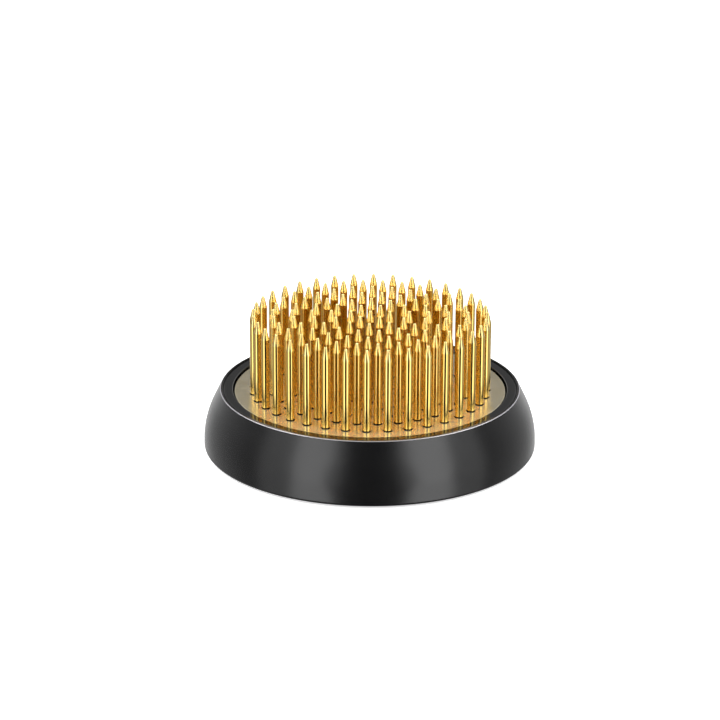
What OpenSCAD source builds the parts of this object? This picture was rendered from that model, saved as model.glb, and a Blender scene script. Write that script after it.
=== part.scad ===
// Kenzan, the pin holder of Japanese flower arranging. Brass needles stand in concentric rings on a
// heavy cast plate, and the plate drops into a domed casing with a gloss ring round its mouth.
// Millimetres, +Z up. The origin is the centre of the foot pad's underside.

/* [Needles] */
// Distance between neighbouring rings of needles
pitch = 3; // [2.6:0.1:3.1]
// Number of rings round the middle needle; ring k holds six times k needles
rings = 6; // [6:6]
// Turn of the whole pattern about the vertical, in degrees
pattern_turn = -1.5; // [-30:0.5:30]
// Diameter of the drawn wire that a needle is made of
needle_d = 1.25; // [1.1:0.05:1.4]
// Height of the coned point, from its shoulder to the tip
point_h = 1.8; // [1.6:0.1:2.4]
// Radius of the blunted tip
tip_r = 0.25; // [0.15:0.01:0.35]
// Height of the tips above the plate
needle_h = 12.8; // [8:0.1:20]
// Depth of the socket that holds a needle in the plate
socket_depth = 5; // [3:0.5:6]

/* [Plate] */
// Diameter of the cast plate
plate_d = 42; // [40:0.1:42.2]
// Thickness of the cast plate
plate_t = 7; // [6.8:0.1:8.5]
// Rounding of the plate's top edge
plate_round = 0.15; // [0.1:0.05:0.6]
// Diameter of the countersink round the foot of each needle
countersink_d = 1.5; // [1.45:0.05:1.8]
// Depth of that countersink
countersink_depth = 0.1; // [0.05:0.05:0.4]

/* [Casing] */
// Outside diameter of the casing at its widest
casing_d = 51.5; // [51.1:0.1:60]
// Drop from the casing's lip to the plate's top face
lip_proud = 0.4; // [0.2:0.05:0.5]
// Diameter of the lip's inner edge, where the inner ring is pressed in
seat_d = 45.7; // [45.3:0.1:45.9]
// Lean of the upper wall from the vertical, in degrees
wall_lean = 26; // [20:0.5:27]
// Radius of the belly, between the upright foot of the wall and its leaning part
belly_r = 13; // [11:0.2:14]
// Height above the casing's underside where the belly starts
belly_start = 1.2; // [1.1:0.1:2]
// Rounding of the lip's outer edge
lip_round = 0.15; // [0.1:0.05:0.25]
// Rounding of the casing's bottom edge
foot_round = 0.5; // [0.3:0.1:1.1]
// Thickness of the floor that the plate rests on
floor_t = 1; // [0.8:0.1:2]

/* [Inner ring] */
// Height of the inner ring
ring_h = 1.6; // [1.2:0.1:3]
// Drop from the casing's lip to the inner ring's top face
ring_drop = 0.1; // [0:0.05:0.2]
// Width of the groove between the inner ring and the lip
groove_w = 0.2; // [0.1:0.05:0.4]
// Depth of that groove
groove_depth = 0.5; // [0.3:0.1:0.8]
// Chamfer on the inner ring's two top edges
ring_chamfer = 0.12; // [0.05:0.01:0.2]

/* [Foot pad] */
// Diameter of the non-slip pad under the casing
pad_d = 44; // [30:1:46]
// Thickness of the pad
pad_t = 1.2; // [0.8:0.1:2]
// Amount that the pad stands out below the casing
pad_proud = 0.2; // [0.1:0.05:0.4]

/* [Fits] */
// Gap all round the plate, so that it lifts out
plate_gap = 0.25; // [0.15:0.05:0.4]
// Gap under the plate, between it and the casing's floor
seat_gap = 0.05; // [0.02:0.01:0.1]
// Lead-in chamfer on the bottom edges of the plate and the pad
lead_in = 0.3; // [0.1:0.1:0.5]

/* [Hidden] */

big_fn = 180;
profile_fn = 96;
needle_fn = 40;
needles_per_ring = 6;
over = 1;                              // how far a cutter runs past a face

casing_r = casing_d / 2;
plate_r = plate_d / 2;
seat_r = seat_d / 2;
bore_r = plate_r + plate_gap;

// Heights above the surface that the pad stands on
underside_z = pad_proud;
floor_z = pad_t;
floor_top_z = floor_z + floor_t;
plate_z = floor_top_z + seat_gap;
plate_top_z = plate_z + plate_t;
lip_z = plate_top_z + lip_proud;
belly_z = underside_z + belly_start;
ring_top_z = lip_z - ring_drop;
ring_z = ring_top_z - ring_h;

// Outer wall: an upright foot, a belly curve, then a straight lean up to the lip
belly_centre_r = casing_r - belly_r;
belly_end = [belly_centre_r + belly_r * cos(wall_lean), belly_z + belly_r * sin(wall_lean)];
lean_end_r = belly_end[0] - (lip_z - belly_end[1]) * tan(wall_lean);
lip_centre = [lean_end_r + lip_round * (tan(wall_lean) - 1 / cos(wall_lean)), lip_z - lip_round];
lip_tangent = lip_centre + lip_round * [cos(wall_lean), sin(wall_lean)];

// Needle profile: a cone whose side is tangent to the sphere of the blunted tip
needle_r = needle_d / 2;
shoulder_z = needle_h - point_h;
tip_centre = [0, needle_h - tip_r];
side_h = tip_centre[1] - shoulder_z;
// Lean of the cone's side from the vertical
cone_lean = atan(needle_r / side_h) - asin(tip_r / norm([needle_r, side_h]));
tip_tangent = tip_centre + tip_r * [cos(cone_lean), sin(cone_lean)];

module block(low, high) {
    translate(low) square(high - low);
}

module disc_at(centre, r) {
    translate(centre) circle(r, $fn = profile_fn);
}

// Half section of the casing as one solid block, before it is hollowed
module casing_block() {
    // Rounded bottom edge and the upright foot of the wall
    block([0, underside_z], [casing_r - foot_round, belly_z]);
    block([0, underside_z + foot_round], [casing_r, belly_z]);
    disc_at([casing_r - foot_round, underside_z + foot_round], foot_round);
    // Belly
    intersection() {
        disc_at([belly_centre_r, belly_z], belly_r);
        block([belly_centre_r, belly_z], [casing_r, belly_end[1]]);
    }
    block([0, belly_z], [belly_centre_r, belly_end[1]]);
    // Leaning wall and the rounded outer edge of the lip
    polygon([[0, belly_end[1]], belly_end, lip_tangent, [lip_centre[0], lip_z], [0, lip_z]]);
    disc_at(lip_centre, lip_round);
}

module casing() {
    color("#2b2b2b")
    rotate_extrude($fn = big_fn)
    difference() {
        casing_block();
        // Bore that the plate drops into
        block([0, floor_top_z], [bore_r, lip_z + over]);
        // Seat of the inner ring
        block([0, ring_z], [seat_r, lip_z + over]);
        // Recess of the foot pad
        block([0, underside_z - over], [pad_d / 2, floor_z]);
    }
}

module inner_ring() {
    land_r = seat_r - groove_w;
    color("#151515")
    rotate_extrude($fn = big_fn)
    polygon([[bore_r, ring_z], [seat_r, ring_z],
             [seat_r, ring_top_z - groove_depth], [land_r, ring_top_z - groove_depth],
             [land_r, ring_top_z - ring_chamfer], [land_r - ring_chamfer, ring_top_z],
             [bore_r + ring_chamfer, ring_top_z], [bore_r, ring_top_z - ring_chamfer]]);
}

module foot_pad() {
    pad_r = pad_d / 2;
    color("#1c1c1e")
    rotate_extrude($fn = big_fn)
    polygon([[0, 0], [pad_r - lead_in, 0], [pad_r, min(lead_in, pad_proud)], [pad_r, pad_t], [0, pad_t]]);
}

// Places its children at every needle of ring k; ring 0 is the middle needle
module on_ring(k) {
    count = max(1, needles_per_ring * k);
    for (i = [0 : count - 1])
        rotate(pattern_turn + i * 360 / count) translate([k * pitch, 0, 0]) children();
}

// Cutter for one socket: a blind hole with a small countersink round its mouth
module socket() {
    translate([0, 0, plate_top_z - socket_depth])
        cylinder(h = socket_depth + over, d = needle_d, $fn = needle_fn);
    translate([0, 0, plate_top_z - countersink_depth])
        cylinder(h = countersink_depth, d1 = needle_d, d2 = countersink_d, $fn = needle_fn);
}

module pin_plate() {
    color("#a59f93")
    difference() {
        rotate_extrude($fn = big_fn) {
            polygon([[0, plate_z], [plate_r - lead_in, plate_z], [plate_r, plate_z + lead_in],
                     [plate_r, plate_top_z - plate_round], [plate_r - plate_round, plate_top_z],
                     [0, plate_top_z]]);
            disc_at([plate_r - plate_round, plate_top_z - plate_round], plate_round);
        }
        for (k = [0 : rings]) on_ring(k) socket();
    }
}

// One needle, standing in its socket
module needle() {
    translate([0, 0, plate_top_z])
    rotate_extrude($fn = needle_fn) {
        polygon([[0, -socket_depth], [needle_r, -socket_depth], [needle_r, shoulder_z], tip_tangent,
                 [0, tip_tangent[1]]]);
        intersection() {
            disc_at(tip_centre, tip_r);
            block([0, tip_tangent[1]], [tip_r, needle_h]);
        }
    }
}

module needle_ring(k) {
    color("#d9a93a") on_ring(k) needle();
}

casing();
inner_ring();
foot_pad();
pin_plate();
needle_ring(0);  // centre_needle
needle_ring(1);  // needle_ring_1
needle_ring(2);  // needle_ring_2
needle_ring(3);  // needle_ring_3
needle_ring(4);  // needle_ring_4
needle_ring(5);  // needle_ring_5
needle_ring(6);  // needle_ring_6
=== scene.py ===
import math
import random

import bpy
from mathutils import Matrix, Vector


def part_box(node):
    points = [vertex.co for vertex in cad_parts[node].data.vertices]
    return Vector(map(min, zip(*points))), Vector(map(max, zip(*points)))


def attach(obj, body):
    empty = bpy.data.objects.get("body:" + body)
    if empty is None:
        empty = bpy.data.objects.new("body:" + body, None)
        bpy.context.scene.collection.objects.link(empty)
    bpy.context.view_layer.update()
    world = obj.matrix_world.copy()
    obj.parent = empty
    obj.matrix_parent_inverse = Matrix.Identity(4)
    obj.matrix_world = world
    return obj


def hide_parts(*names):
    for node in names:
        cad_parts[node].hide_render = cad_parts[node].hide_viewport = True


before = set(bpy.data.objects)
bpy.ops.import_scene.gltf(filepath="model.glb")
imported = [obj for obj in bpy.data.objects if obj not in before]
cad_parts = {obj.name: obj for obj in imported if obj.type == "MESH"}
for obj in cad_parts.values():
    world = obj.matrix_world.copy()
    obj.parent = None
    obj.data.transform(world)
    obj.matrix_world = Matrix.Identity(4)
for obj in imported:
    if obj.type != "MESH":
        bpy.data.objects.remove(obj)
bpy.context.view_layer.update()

# %% [markdown]
# # A kenzan, the pin holder of Japanese flower arranging
# A kenzan is a heavy disc full of upright brass needles. Stems are pushed down on to the needles, and
# the weight of the plate keeps the flowers from tipping over. This one sits in a domed black casing.
# Every piece of it is round, so nearly every piece here is made the way a lathe would make it: as a
# disc that grows along an outline. The fixed model gives the sizes and this file gives the looks.

MM = 0.001
bpy.ops.object.select_all(action='DESELECT')

# %% [markdown]
# ## Heights and radii
# All the pieces share a few numbers. The big ones are read from the fixed model's nodes, so that a
# change there arrives here by itself. The small ones, such as a rounded edge, can't be read from a
# box, so they are repeated here in millimetres. Radius is distance from the needles' own axis.

# %% Main sizes, in millimetres
def top_of(node):
    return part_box(node)[1][2] / MM


def bottom_of(node):
    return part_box(node)[0][2] / MM


def radius_of(node):
    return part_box(node)[1][1] / MM


CASING_R = radius_of("casing")
CASING_Z = bottom_of("casing")
LIP_Z = top_of("casing")
RING_R = radius_of("inner_ring")
RING_Z = bottom_of("inner_ring")
RING_TOP_Z = top_of("inner_ring")
PAD_R = radius_of("foot_pad")
PAD_TOP_Z = top_of("foot_pad")
PLATE_R = radius_of("pin_plate")
PLATE_Z = bottom_of("pin_plate")
PLATE_TOP_Z = top_of("pin_plate")
TIP_Z = top_of("centre_needle")
PLATE_GAP = 0.25
SEAT_GAP = 0.05
BORE_R = PLATE_R + PLATE_GAP
FLOOR_TOP_Z = PLATE_Z - SEAT_GAP
print("casing %.2f across, plate %.2f across, tips at %.2f" % (2 * CASING_R, 2 * PLATE_R, TIP_Z))

# %% [markdown]
# ## A lathe made from two tools
# A turned piece can be made with the Spin tool, but Spin leaves a seam and a pole to clean up. It is
# simpler to start with a filled circle, extrude it, move it up and scale it, and do that again at each
# point of the outline. The filled face travels along and becomes the far end, so the piece is closed.
# A ring has no ends: it starts with an empty circle, and its last loop is merged with its first.

# %% Points along a circular arc of an outline
SIDES = 192


def arc(centre, radius, start, end, steps):
    """Outline points on an arc. Angles are in degrees, from straight outwards round to straight up."""
    points = []
    for step in range(steps + 1):
        angle = math.radians(start + (end - start) * step / steps)
        points.append((centre[0] + radius * math.cos(angle), centre[1] + radius * math.sin(angle)))
    return points


# %% The lathe
def grow_along(outline):
    """In edit mode: extrude what is selected from each outline point to the next one."""
    for (old_r, old_z), (r, z) in zip(outline, outline[1:]):
        bpy.ops.mesh.extrude_region_move(TRANSFORM_OT_translate={"value": (0, 0, (z - old_z) * MM)})
        bpy.ops.transform.resize(value=(r / old_r, r / old_r, 1), center_override=(0, 0, z * MM))


def turn_piece(name, outline, closed_ring=False, sides=SIDES):
    """Turns an outline of (radius, height) points into a piece about the vertical axis."""
    bpy.ops.object.select_all(action='DESELECT')
    fill = 'NOTHING' if closed_ring else 'NGON'
    bpy.ops.mesh.primitive_circle_add(vertices=sides, radius=outline[0][0] * MM, fill_type=fill,
                                      location=(0, 0, outline[0][1] * MM))
    piece = bpy.context.object
    piece.name = name
    piece.data.name = name
    bpy.ops.object.mode_set(mode='EDIT')
    bpy.ops.mesh.select_all(action='SELECT')
    grow_along(outline)
    bpy.ops.mesh.select_all(action='SELECT')
    bpy.ops.mesh.remove_doubles(threshold=0.001 * MM)
    bpy.ops.mesh.normals_make_consistent(inside=False)
    bpy.ops.object.mode_set(mode='OBJECT')
    bpy.ops.object.transform_apply(location=True, rotation=True, scale=True)
    return piece


# %% [markdown]
# ## Smooth where it is round, crisp where it is cut
# Smooth shading by angle keeps a cut edge crisp. It still bends the light near a small rounding,
# because each corner takes the average direction of its faces. The Weighted Normal modifier lets the
# large faces decide, so a long wall stays straight right up to its rounded end.

# %% Shading for a finished piece
def smooth(piece, limit=32):
    bpy.ops.object.select_all(action='DESELECT')
    piece.select_set(True)
    bpy.context.view_layer.objects.active = piece
    bpy.ops.object.shade_smooth_by_angle(angle=math.radians(limit))
    bpy.ops.object.modifier_add(type='WEIGHTED_NORMAL')
    piece.modifiers[-1].keep_sharp = True
    bpy.ops.object.modifier_apply(modifier=piece.modifiers[-1].name)
    print(piece.name, len(piece.data.polygons), "faces")


# %% [markdown]
# ## Casing
# The casing is one moulding: a cup with an upright foot, a belly that curves in and a straight wall
# that leans in to a thin lip. Moulded edges are never sharp, so its foot and lip are rounded. The
# outline starts under the cup, at the recess of the foot pad, and ends on the floor of the bore. The
# faces of the lip's outer edge get the number of a second material, a painted highlight, which comes
# later.

# %% Outline of the casing
FOOT_ROUND = 0.5
WALL_LEAN = 26
BELLY_R = 13
BELLY_START = 1.2
LIP_ROUND = 0.15
SEAT_ROUND = 0.06
belly_centre = (CASING_R - BELLY_R, CASING_Z + BELLY_START)
foot_centre = (CASING_R - FOOT_ROUND, CASING_Z + FOOT_ROUND)
lean = math.radians(WALL_LEAN)
belly_end_r = belly_centre[0] + BELLY_R * math.cos(lean)
belly_end_z = belly_centre[1] + BELLY_R * math.sin(lean)
wall_top_r = belly_end_r - (LIP_Z - belly_end_z) * math.tan(lean)
lip_centre = (wall_top_r + LIP_ROUND * (math.tan(lean) - 1 / math.cos(lean)), LIP_Z - LIP_ROUND)

casing_outline = [(PAD_R, PAD_TOP_Z), (PAD_R, CASING_Z)]
casing_outline += arc(foot_centre, FOOT_ROUND, -90, 0, 8)
casing_outline += arc(belly_centre, BELLY_R, 0, WALL_LEAN, 8)
casing_outline += arc(lip_centre, LIP_ROUND, WALL_LEAN, 90, 7)
casing_outline += arc((RING_R + SEAT_ROUND, LIP_Z - SEAT_ROUND), SEAT_ROUND, 90, 180, 3)
casing_outline += [(RING_R, RING_Z), (BORE_R, RING_Z), (BORE_R, FLOOR_TOP_Z)]
print("lip between radius %.2f and %.2f" % (RING_R, wall_top_r))

# %% Casing
casing = turn_piece("casing_shell", casing_outline)
smooth(casing)
# Faces on the lip's outer edge take material 1, the painted highlight.
lip_faces = 0
for face in casing.data.polygons:
    x, y, z = face.center / MM
    if z > LIP_Z - LIP_ROUND and math.hypot(x, y) > lip_centre[0]:
        face.material_index = 1
        lip_faces += 1
print(lip_faces, "faces on the lip's outer edge, for a second material")
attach(casing, "casing")
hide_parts("casing")

# %% [markdown]
# ## Inner ring
# A flat gloss ring is pressed into the casing's mouth, just below the lip. It hides the edge of the
# bore, and it mirrors the needles next to it. A narrow groove is left between it and the lip. It has
# no ends, so its outline comes back to where it started.

# %% Inner ring
GROOVE_W = 0.2
GROOVE_DEPTH = 0.5
RING_EDGE = 0.12
land_r = RING_R - GROOVE_W
ring_outline = [(BORE_R, RING_Z), (RING_R, RING_Z), (RING_R, RING_TOP_Z - GROOVE_DEPTH),
                (land_r, RING_TOP_Z - GROOVE_DEPTH)]
ring_outline += arc((land_r - RING_EDGE, RING_TOP_Z - RING_EDGE), RING_EDGE, 0, 90, 4)
ring_outline += arc((BORE_R + RING_EDGE, RING_TOP_Z - RING_EDGE), RING_EDGE, 90, 180, 4)
ring_outline += [(BORE_R, RING_Z)]
inner_ring = turn_piece("mouth_ring", ring_outline, closed_ring=True)
smooth(inner_ring)
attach(inner_ring, "casing")
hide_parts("inner_ring")

# %% [markdown]
# ## Foot pad
# A thin rubber disc is pressed into the underside, so that the holder doesn't slide or scratch the
# vase. It stands out only 0.2 mm below the casing, and its edge is bevelled where it meets the table.

# %% Foot pad
PAD_EDGE = 0.3
pad_outline = [(PAD_R - PAD_EDGE, 0), (PAD_R, CASING_Z), (PAD_R, PAD_TOP_Z)]
foot_pad = turn_piece("non_slip_pad", pad_outline)
smooth(foot_pad)
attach(foot_pad, "casing")
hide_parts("foot_pad")

# %% [markdown]
# ## One needle
# A needle is a length of brass wire. One end is turned to a slim cone with a small round tip, so that
# it parts a stem without breaking off. There are 127 of them, so each one is kept to a few dozen
# faces. The shoulder, where the cone starts, is a real cut edge: it is marked sharp, because otherwise
# the light on the long shank would bend towards it.

# %% Outline of the needle
NEEDLE_R = 0.625
POINT_H = 1.8
TIP_R = 0.25
SOCKET_DEPTH = 5
needle_foot_z = PLATE_TOP_Z - SOCKET_DEPTH
shoulder_z = TIP_Z - POINT_H
tip_centre_z = TIP_Z - TIP_R
cone_h = tip_centre_z - shoulder_z
cone_lean = math.degrees(math.atan(NEEDLE_R / cone_h) - math.asin(TIP_R / math.hypot(NEEDLE_R, cone_h)))
needle_outline = [(NEEDLE_R, needle_foot_z), (NEEDLE_R, shoulder_z)]
needle_outline += arc((0, tip_centre_z), TIP_R, cone_lean, 80, 4)
print("the cone leans %.1f degrees" % cone_lean)

# %% First needle
NEEDLE_SIDES = 16
needle = turn_piece("needle_pattern", needle_outline, sides=NEEDLE_SIDES)
bpy.ops.object.mode_set(mode='EDIT')
bpy.ops.mesh.select_all(action='DESELECT')
bpy.ops.object.mode_set(mode='OBJECT')
for vertex in needle.data.vertices:
    vertex.select = abs(vertex.co.z / MM - shoulder_z) < 0.01
bpy.ops.object.mode_set(mode='EDIT')
bpy.ops.mesh.mark_sharp()
bpy.ops.object.mode_set(mode='OBJECT')
print(sum(edge.use_edge_sharp for edge in needle.data.edges), "sharp edges at the shoulder")
smooth(needle, limit=40)

# %% [markdown]
# ## 127 needles in seven groups
# The needles stand on one in the middle and six rings, 3 mm apart, with six more in each ring than in
# the one inside it. Each is a copy with a mesh of its own, because pieces that are joined and exported
# can't share one. Every copy is also turned about itself, so that their facets don't line up.

# %% Places of the needles
PITCH = 3.0
PATTERN_TURN = -1.5
PER_RING = 6


def places_on_ring(ring):
    count = max(1, PER_RING * ring)
    places = []
    for index in range(count):
        turn = math.radians(PATTERN_TURN + 360 * index / count)
        places.append((ring * PITCH * math.cos(turn), ring * PITCH * math.sin(turn)))
    return places


print([len(places_on_ring(ring)) for ring in range(7)], "needles")


# %% Copies of a piece, joined into one
def set_out(pattern, name, places, seed=0):
    """Copies the pattern to each place, turned about itself, and joins the copies."""
    chance = random.Random(seed)
    copies = []
    for x, y in places:
        bpy.ops.object.select_all(action='DESELECT')
        pattern.select_set(True)
        bpy.context.view_layer.objects.active = pattern
        bpy.ops.object.duplicate(linked=False)
        copy = bpy.context.object
        copy.location = (x * MM, y * MM, 0)
        copy.rotation_euler = (0, 0, chance.uniform(0, math.tau))
        copies.append(copy)
    bpy.ops.object.select_all(action='DESELECT')
    for copy in copies:
        copy.select_set(True)
    bpy.context.view_layer.objects.active = copies[0]
    if len(copies) > 1:
        bpy.ops.object.join()
    joined = bpy.context.object
    joined.name = name
    joined.data.name = name
    bpy.ops.object.transform_apply(location=True, rotation=True, scale=True)
    return joined


# %% Middle needle and the six rings
needle_groups = [set_out(needle, "needle_middle", places_on_ring(0))]
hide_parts("centre_needle")
for ring in range(1, 7):
    group = set_out(needle, "needle_circle_%d" % ring, places_on_ring(ring), seed=ring)
    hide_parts("needle_ring_%d" % ring)
    needle_groups.append(group)
for group in needle_groups:
    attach(group, "pin_block")
bpy.data.objects.remove(needle)
print(sum(len(group.data.polygons) for group in needle_groups), "faces in all the needles")

# %% [markdown]
# ## Pin plate
# The plate is a thick casting of tin and lead, faced flat on top. Its top edge is rounded and its
# bottom edge is chamfered, so that it drops easily into the casing. The sockets are drilled with a
# Boolean, by 127 copies of one drill. The drill widens at the top, which leaves a small countersink
# round the foot of each needle. Its faces are later painted dark, as painted shade round each foot.

# %% Plate, before it is drilled
PLATE_EDGE = 0.3
PLATE_ROUND = 0.15
plate_outline = [(PLATE_R - PLATE_EDGE, PLATE_Z), (PLATE_R, PLATE_Z + PLATE_EDGE)]
plate_outline += arc((PLATE_R - PLATE_ROUND, PLATE_TOP_Z - PLATE_ROUND), PLATE_ROUND, 0, 90, 6)
plate = turn_piece("cast_plate", plate_outline)

# %% Drill
COUNTERSINK_R = 0.75
COUNTERSINK_DEPTH = 0.1
OVER = 0.2
flare = (COUNTERSINK_R - NEEDLE_R) / COUNTERSINK_DEPTH
drill_outline = [(NEEDLE_R, needle_foot_z), (NEEDLE_R, PLATE_TOP_Z - COUNTERSINK_DEPTH),
                 (COUNTERSINK_R + flare * OVER, PLATE_TOP_Z + OVER)]
drill = turn_piece("drill", drill_outline, sides=NEEDLE_SIDES)

# %% Drilled plate
everywhere = [place for ring in range(7) for place in places_on_ring(ring)]
drills = set_out(drill, "drills", everywhere, seed=40)
bpy.ops.object.select_all(action='DESELECT')
plate.select_set(True)
bpy.context.view_layer.objects.active = plate
bpy.ops.object.modifier_add(type='BOOLEAN')
plate.modifiers[-1].operation = 'DIFFERENCE'
plate.modifiers[-1].solver = 'EXACT'
plate.modifiers[-1].object = drills
bpy.ops.object.modifier_apply(modifier=plate.modifiers[-1].name)
bpy.data.objects.remove(drills)
bpy.data.objects.remove(drill)
smooth(plate)
# Faces in the mouths of the sockets take material 1, a dark painted shade round each foot.
mouths = 0
for face in plate.data.polygons:
    x, y, z = face.center / MM
    in_mouth = PLATE_TOP_Z - COUNTERSINK_DEPTH < z < PLATE_TOP_Z - 0.01
    if in_mouth and math.hypot(x, y) < PLATE_R - 1:
        face.material_index = 1
        mouths += 1
print(mouths, "faces round the mouths of the sockets")
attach(plate, "pin_block")
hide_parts("pin_plate")

# %% [markdown]
# ## Materials
# Each material is a small network of nodes on top of one shader. Two helpers keep the cells short: one
# turns a colour picked on a screen into the linear numbers that the renderer works with, and one adds
# a node with its settings and its links.

# %% Helpers for materials
def colour(hex_code):
    """A screen colour such as #ffdb5c as linear red, green, blue and alpha."""
    channels = [int(hex_code[index:index + 2], 16) / 255 for index in (1, 3, 5)]
    linear = [c / 12.92 if c <= 0.04045 else ((c + 0.055) / 1.055) ** 2.4 for c in channels]
    return (*linear, 1)


def add_node(tree, kind, settings=None, **inputs):
    """Adds a node. A setting is a property; an input is a number, a colour or another node's output."""
    node = tree.nodes.new(kind)
    for key, value in (settings or {}).items():
        setattr(node, key, value)
    for key, value in inputs.items():
        socket = node.inputs[key.replace("_", " ")]
        if isinstance(value, bpy.types.NodeSocket):
            tree.links.new(value, socket)
        else:
            socket.default_value = value
    return node


def new_material(name, **shader_inputs):
    """An empty material with one shader, wired to the output."""
    material = bpy.data.materials.new(name)
    material.use_nodes = True
    tree = material.node_tree
    tree.nodes.clear()
    shader = add_node(tree, 'ShaderNodeBsdfPrincipled', **shader_inputs)
    output = add_node(tree, 'ShaderNodeOutputMaterial')
    tree.links.new(shader.outputs['BSDF'], output.inputs['Surface'])
    place = add_node(tree, 'ShaderNodeTexCoord').outputs['Object']
    return material, tree, shader, place


def dress(piece, material):
    piece.data.materials.append(material)
    print(piece.name, "is", material.name)


def grain_scale(size_mm):
    """Scale of a pattern that repeats about every size_mm, for coordinates in metres."""
    return 1 / (size_mm * MM)


def wave_scale(period_mm):
    """Scale of a Wave texture with one wave every period_mm. It runs 20 radians per unit of length."""
    return math.tau / 20 * grain_scale(period_mm)


# %% [markdown]
# ### Satin black ABS
# The casing is ABS, moulded in a spark-eroded tool. Its skin is a fine even grain, so it spreads a
# highlight instead of mirroring it. The grain is about 0.1 mm on the real one and is drawn at 0.16 mm,
# so that it shows.

# %% Satin black ABS
abs_black, tree, shader, place = new_material("satin_black_abs", Base_Color=colour("#0a0a0b"),
                                              Roughness=0.24, IOR=1.65)
grain = add_node(tree, 'ShaderNodeTexNoise', Vector=place, Scale=grain_scale(0.16), Detail=3.0)
cloud = add_node(tree, 'ShaderNodeTexNoise', Vector=place, Scale=grain_scale(6), Detail=2.0)
rough = add_node(tree, 'ShaderNodeMapRange', Value=cloud.outputs['Fac'], From_Min=0.3, From_Max=0.7,
                 To_Min=0.22, To_Max=0.26)
bump = add_node(tree, 'ShaderNodeBump', Height=grain.outputs['Fac'], Strength=0.25,
                Distance=0.01 * MM)
tree.links.new(rough.outputs['Result'], shader.inputs['Roughness'])
tree.links.new(bump.outputs['Normal'], shader.inputs['Normal'])
dress(casing, abs_black)

# %% [markdown]
# ### Painted highlight on the lip's edge
# The outer edge of the lip gets a light grey, half-metal colour. It is a painted highlight: the thin
# light line that runs round the mouth. Noise in its roughness gives it faint streaks.

# %% Painted highlight on the lip's edge
# A light grey, half-metal colour on the lip's edge: a painted highlight.
lip_edge_highlight, tree, shader, place = new_material("painted_highlight_lip", Base_Color=colour("#b9b7bd"),
                                                Metallic=0.6, Roughness=0.4)
streaks = add_node(tree, 'ShaderNodeTexNoise', Vector=place, Scale=grain_scale(0.5), Detail=3.0)
rough = add_node(tree, 'ShaderNodeMapRange', Value=streaks.outputs['Fac'], From_Min=0.3, From_Max=0.7,
                 To_Min=0.36, To_Max=0.44)
tree.links.new(rough.outputs['Result'], shader.inputs['Roughness'])
casing.data.materials.append(lip_edge_highlight)

# %% [markdown]
# ### Gloss black ring
# The ring is moulded in a polished tool, so it is nearly a mirror. Only a slight waviness of the
# moulding and a few faint rub marks break the reflection up.

# %% Gloss black ring
gloss_black, tree, shader, place = new_material("gloss_black_moulding", Base_Color=colour("#0c0c0d"),
                                                Roughness=0.06, IOR=1.75)
wave = add_node(tree, 'ShaderNodeTexNoise', Vector=place, Scale=grain_scale(2.5), Detail=1.0)
rub = add_node(tree, 'ShaderNodeTexNoise', Vector=place, Scale=grain_scale(0.7), Detail=4.0)
rough = add_node(tree, 'ShaderNodeMapRange', Value=rub.outputs['Fac'], From_Min=0.35, From_Max=0.7,
                 To_Min=0.04, To_Max=0.09)
bump = add_node(tree, 'ShaderNodeBump', Height=wave.outputs['Fac'], Strength=0.15,
                Distance=0.02 * MM)
tree.links.new(rough.outputs['Result'], shader.inputs['Roughness'])
tree.links.new(bump.outputs['Normal'], shader.inputs['Normal'])
dress(inner_ring, gloss_black)

# %% [markdown]
# ### Matt rubber
# The foot pad is cut from rubber sheet. It has no shine, and a soft cloudy grain about 0.4 mm across.

# %% Matt rubber
rubber, tree, shader, place = new_material("matt_rubber", Base_Color=colour("#18181a"),
                                           Roughness=0.85, IOR=1.52)
grain = add_node(tree, 'ShaderNodeTexNoise', Vector=place, Scale=grain_scale(0.4), Detail=4.0)
shade = add_node(tree, 'ShaderNodeValToRGB', Fac=grain.outputs['Fac'])
shade.color_ramp.elements[0].position = 0.35
shade.color_ramp.elements[0].color = colour("#141416")
shade.color_ramp.elements[1].position = 0.7
shade.color_ramp.elements[1].color = colour("#1f1f22")
bump = add_node(tree, 'ShaderNodeBump', Height=grain.outputs['Fac'], Strength=0.5,
                Distance=0.04 * MM)
tree.links.new(shade.outputs['Color'], shader.inputs['Base Color'])
tree.links.new(bump.outputs['Normal'], shader.inputs['Normal'])
dress(foot_pad, rubber)

# %% [markdown]
# ### Cast tin and lead alloy
# The plate is a soft pale alloy, cast and then faced on a lathe. Facing leaves fine rings round the
# axis, and some of them are smoother than others. The crystals of the casting, about 1.4 mm across,
# show as faint clouds. The rings are about 0.1 mm apart and are drawn at 0.3 mm, to show.

# %% Cast tin and lead alloy
alloy, tree, shader, place = new_material("faced_tin_lead_alloy", Base_Color=colour("#e2d9bd"),
                                          Metallic=0.75, Roughness=0.24)
cloud = add_node(tree, 'ShaderNodeTexNoise', Vector=place, Scale=grain_scale(1.4), Detail=4.0)
shade = add_node(tree, 'ShaderNodeValToRGB', Fac=cloud.outputs['Fac'])
shade.color_ramp.elements[0].position = 0.3
shade.color_ramp.elements[0].color = colour("#dad0b2")
shade.color_ramp.elements[1].position = 0.7
shade.color_ramp.elements[1].color = colour("#eae2c8")
rings = add_node(tree, 'ShaderNodeTexWave', {"wave_type": 'RINGS', "rings_direction": 'Z'},
                 Vector=place, Scale=wave_scale(0.3), Distortion=0.6, Detail=2.0)
rough = add_node(tree, 'ShaderNodeMapRange', Value=rings.outputs['Fac'], To_Min=0.21, To_Max=0.26)
bump = add_node(tree, 'ShaderNodeBump', Height=cloud.outputs['Fac'], Strength=0.15,
                Distance=0.01 * MM)
tree.links.new(shade.outputs['Color'], shader.inputs['Base Color'])
tree.links.new(rough.outputs['Result'], shader.inputs['Roughness'])
tree.links.new(bump.outputs['Normal'], shader.inputs['Normal'])
dress(plate, alloy)
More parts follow.
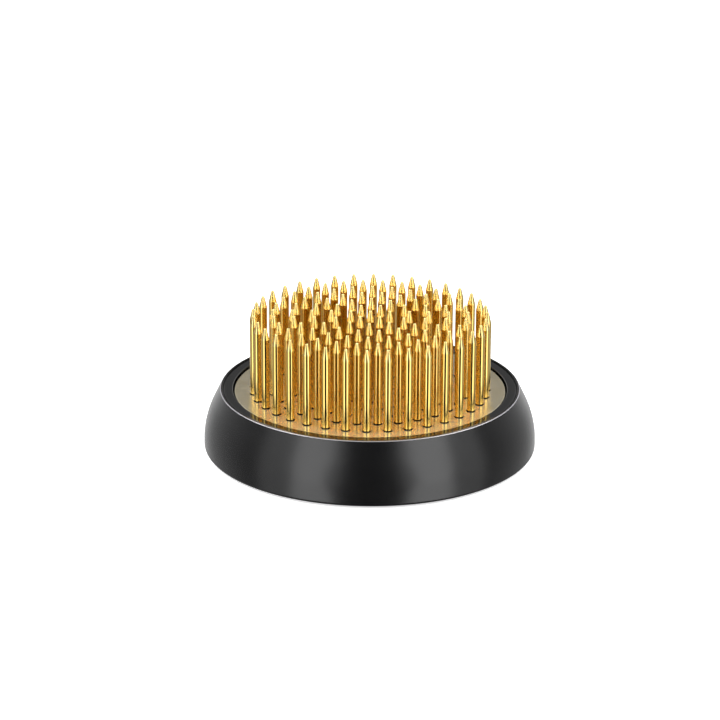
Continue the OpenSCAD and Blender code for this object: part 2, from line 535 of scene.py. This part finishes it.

# %% Painted shade in the mouths of the sockets
# Dark brown and mottled: a painted shade that stands in for the shadow in the gap round each needle's
# foot.
socket_shade, tree, shader, place = new_material("painted_socket_shade", Base_Color=colour("#241c12"), Roughness=0.6)
shade_mottle = add_node(tree, 'ShaderNodeTexNoise', Vector=place, Scale=grain_scale(0.5), Detail=3.0)
shade = add_node(tree, 'ShaderNodeValToRGB', Fac=shade_mottle.outputs['Fac'])
shade.color_ramp.elements[0].position = 0.3
shade.color_ramp.elements[0].color = colour("#19130c")
shade.color_ramp.elements[1].position = 0.7
shade.color_ramp.elements[1].color = colour("#33281a")
tree.links.new(shade.outputs['Color'], shader.inputs['Base Color'])
plate.data.materials.append(socket_shade)

# %% [markdown]
# ### Polished brass wire
# Drawing a wire through a die leaves streaks along it. Tumbling then polishes the shanks until they are
# nearly mirrors. The streaks are noise that is stretched along the needle: they are 0.25 mm wide and
# several millimetres long. Fine marks across the wire, 0.13 mm apart, spread each reflection up and
# down a little. The turned points stay satin, and their colour is lighter, as a painted highlight.
# The lowest 0.12 mm, where the needle meets the plate, is painted dark, as painted shade at the foot.
# Both changes follow the height: a Map Range node turns a height into a number from 0 to 1.

# %% Polished brass wire
DARK_FOOT = 0.12
DARK_FADE = 0.08
SHOULDER_FADE = 0.01
brass, tree, shader, place = new_material("polished_brass_wire", Base_Color=colour("#ffda7e"),
                                          Metallic=1.0, Roughness=0.06)
stretched = add_node(tree, 'ShaderNodeMapping', Vector=place, Scale=(1, 1, 0.03))
streaks = add_node(tree, 'ShaderNodeTexNoise', Vector=stretched.outputs['Vector'],
                   Scale=grain_scale(0.25), Detail=3.0)
shade = add_node(tree, 'ShaderNodeValToRGB', Fac=streaks.outputs['Fac'])
shade.color_ramp.elements[0].position = 0.3
shade.color_ramp.elements[0].color = colour("#fdd474")
shade.color_ramp.elements[1].position = 0.7
shade.color_ramp.elements[1].color = colour("#ffdf88")
height = add_node(tree, 'ShaderNodeSeparateXYZ', Vector=place).outputs['Z']
is_point = add_node(tree, 'ShaderNodeMapRange', Value=height,
                    From_Min=(shoulder_z - SHOULDER_FADE) * MM,
                    From_Max=(shoulder_z + SHOULDER_FADE) * MM)
# Below this height the brass is painted dark: a painted shade where the needle meets the plate.
above_foot_shade = add_node(tree, 'ShaderNodeMapRange', Value=height, From_Min=(PLATE_TOP_Z + DARK_FOOT) * MM,
                    From_Max=(PLATE_TOP_Z + DARK_FOOT + DARK_FADE) * MM)
dark = add_node(tree, 'ShaderNodeMix', {"data_type": 'RGBA'})
tree.links.new(above_foot_shade.outputs['Result'], dark.inputs[0])
# The dark brown mixed in at the foot is painted shade.
dark.inputs[6].default_value = colour("#33250f")
tree.links.new(shade.outputs['Color'], dark.inputs[7])
shank_rough = add_node(tree, 'ShaderNodeMapRange', Value=streaks.outputs['Fac'], From_Min=0.3,
                       From_Max=0.7, To_Min=0.04, To_Max=0.07)
rough = add_node(tree, 'ShaderNodeMix', {"data_type": 'FLOAT'}, Factor=is_point.outputs['Result'])
tree.links.new(shank_rough.outputs['Result'], rough.inputs[2])
rough.inputs[3].default_value = 0.2
marks = add_node(tree, 'ShaderNodeTexWave', {"wave_type": 'BANDS', "bands_direction": 'Z'},
                 Vector=place, Scale=wave_scale(0.13), Distortion=1.0, Detail=2.0)
bump = add_node(tree, 'ShaderNodeBump', Height=marks.outputs['Fac'], Strength=0.7,
                Distance=0.006 * MM)
# The points get a lighter, creamier gold than the shanks. This is a painted highlight, on top of their
# real satin finish.
point_highlight_tint = add_node(tree, 'ShaderNodeMix', {"data_type": 'RGBA'})
tree.links.new(is_point.outputs['Result'], point_highlight_tint.inputs[0])
tree.links.new(dark.outputs[2], point_highlight_tint.inputs[6])
point_highlight_tint.inputs[7].default_value = colour("#ffe294")
tree.links.new(point_highlight_tint.outputs[2], shader.inputs['Base Color'])
tree.links.new(rough.outputs[0], shader.inputs['Roughness'])
tree.links.new(bump.outputs['Normal'], shader.inputs['Normal'])
for group in needle_groups:
    dress(group, brass)

# %% [markdown]
# ## Stage
# The holder stands on a white table in front of a white wall. Polished metal shows whatever is round
# it, so the surroundings are half of the finish. The room is dark behind the camera and bright behind
# the holder. One patch of it is dimmed, and that patch is what the gloss ring mirrors, so the ring
# stays black. The camera itself sees only plain white.

# %% Table
bpy.ops.object.select_all(action='DESELECT')
bpy.ops.mesh.primitive_plane_add(size=6, location=(0, 0, 0))
table = bpy.context.object
table.name = "table"
table.visible_glossy = False
table.visible_shadow = False
white, tree, shader, place = new_material("white_table", Base_Color=colour("#ffffff"), Roughness=1.0)
shader.inputs['Emission Color'].default_value = colour("#ffffff")
shader.inputs['Emission Strength'].default_value = 0.6
dress(table, white)

# %% Room
ROOM = ((0.0, 0.03), (0.2, 0.04), (0.5, 0.18), (0.85, 0.5), (1.0, 0.6))
DIMMED_PATCH = (0, 0.945, 0.327)
world = bpy.data.worlds.new("studio")
bpy.context.scene.world = world
world.use_nodes = True
tree = world.node_tree
tree.nodes.clear()
direction = add_node(tree, 'ShaderNodeTexCoord').outputs['Generated']
axes = add_node(tree, 'ShaderNodeSeparateXYZ', Vector=direction)
depth = add_node(tree, 'ShaderNodeMapRange', Value=axes.outputs['Y'], From_Min=-1.0, From_Max=1.0)
room = add_node(tree, 'ShaderNodeValToRGB', Fac=depth.outputs['Result'])
for position, grey in ROOM:
    stop = room.color_ramp.elements.new(position)
    stop.color = (grey, grey, grey, 1)
room.color_ramp.elements.remove(room.color_ramp.elements[-1])
room.color_ramp.elements.remove(room.color_ramp.elements[0])
ceiling = add_node(tree, 'ShaderNodeMapRange', Value=axes.outputs['Z'], From_Min=0.5, From_Max=0.85,
                   To_Min=1.0, To_Max=0.2)
toward = add_node(tree, 'ShaderNodeVectorMath', {"operation": 'DOT_PRODUCT'})
tree.links.new(direction, toward.inputs[0])
toward.inputs[1].default_value = DIMMED_PATCH
patch = add_node(tree, 'ShaderNodeMapRange', Value=toward.outputs['Value'], From_Min=0.955,
                 From_Max=0.98, To_Min=1.0, To_Max=0.22)
shaded = add_node(tree, 'ShaderNodeMath', {"operation": 'MULTIPLY'})
tree.links.new(ceiling.outputs['Result'], shaded.inputs[0])
tree.links.new(patch.outputs['Result'], shaded.inputs[1])
seen = add_node(tree, 'ShaderNodeLightPath').outputs['Is Camera Ray']
around = add_node(tree, 'ShaderNodeBackground', Color=room.outputs['Color'],
                  Strength=shaded.outputs['Value'])
plain = add_node(tree, 'ShaderNodeBackground', Color=colour("#ffffff"), Strength=1.0)
both = add_node(tree, 'ShaderNodeMixShader', Fac=seen)
tree.links.new(around.outputs['Background'], both.inputs[1])
tree.links.new(plain.outputs['Background'], both.inputs[2])
out = add_node(tree, 'ShaderNodeOutputWorld')
tree.links.new(both.outputs['Shader'], out.inputs['Surface'])

# %% [markdown]
# ## Softboxes
# A tall softbox on each side of the camera makes the two bright lines down every shank, and the dark
# gap between them makes the dark line in the middle. Each is built from a bright strip, a dim strip
# outside it and, in the upper row, a dim strip on the side of the gap. The upright shanks see only the
# lower row, and the leaning wall of the casing sees the upper one. Two more hang high at the sides, for
# the flat plate and the points.

# %% Softboxes
DISTANCE = 0.9
POWER_PER_RADIANCE = 4


def softbox(name, start, end, low, high, radiance):
    """A light that faces the holder, between two azimuths and two heights, in degrees.

    An azimuth is counted from the camera to the right. A softbox is placed by angles, because they say
    where its reflection will be.
    """
    azimuth = math.radians((start + end) / 2)
    height = math.radians((low + high) / 2)
    place = (DISTANCE * math.cos(height) * math.sin(azimuth),
             -DISTANCE * math.cos(height) * math.cos(azimuth), DISTANCE * math.sin(height))
    width = 2 * DISTANCE * math.tan(math.radians(abs(end - start) / 2)) * math.cos(height)
    length = 2 * DISTANCE * math.tan(math.radians((high - low) / 2))
    bpy.ops.object.light_add(type='AREA', location=place, rotation=(math.pi / 2 - height, 0, azimuth))
    lamp = bpy.context.object
    lamp.name = name
    lamp.data.shape = 'RECTANGLE'
    lamp.data.size = width
    lamp.data.size_y = length
    lamp.data.energy = POWER_PER_RADIANCE * radiance * width * length
    lamp.visible_camera = False


UPPER_ROW = (("left_edge", -27, -19, 0.55), ("left_middle", -54, -27, 1.6),
             ("left_far", -80, -54, 0.45), ("right_edge", 21, 29, 0.55),
             ("right_middle", 29, 58, 1.75), ("right_far", 58, 84, 0.5))
LOWER_ROW = (("low_left_middle", -54, -25, 1.4), ("low_left_far", -80, -54, 0.4),
             ("low_right_middle", 26, 58, 1.5), ("low_right_far", 58, 84, 0.4))
HIGH_PAIR = (("left_high", -130, -65, 4.6), ("right_high", 65, 130, 4.6))
for low, high, row in ((-6, 42, UPPER_ROW), (-34, -6, LOWER_ROW), (36, 62, HIGH_PAIR)):
    for name, start, end, radiance in row:
        softbox(name, start, end, low, high, radiance)
print(len(bpy.data.lights), "softboxes")

# %% [markdown]
# ## Camera
# A long lens stands back from the holder and looks down on it at 19 degrees. It is aimed at the
# middle of the needles' tips, and the picture is shifted a little so that the holder sits in the
# middle of the frame.

# %% Camera
AIM = (0, 0, TIP_Z * MM)
AWAY = 0.4146
DOWN = math.radians(18.97)
ROLL = math.radians(0.3)
bpy.ops.object.select_all(action='DESELECT')
bpy.ops.object.camera_add(location=(0, -AWAY * math.cos(DOWN), AIM[2] + AWAY * math.sin(DOWN)))
camera = bpy.context.object
camera.name = "camera"
camera.rotation_mode = 'ZYX'
camera.rotation_euler = (math.pi / 2 - DOWN, 0, ROLL)
camera.data.sensor_width = 36
camera.data.lens = 134.95
camera.data.shift_x = -0.0144
camera.data.shift_y = -0.069
camera.data.clip_start = 0.01
scene = bpy.context.scene
scene.camera = camera
scene.view_settings.view_transform = 'Standard'
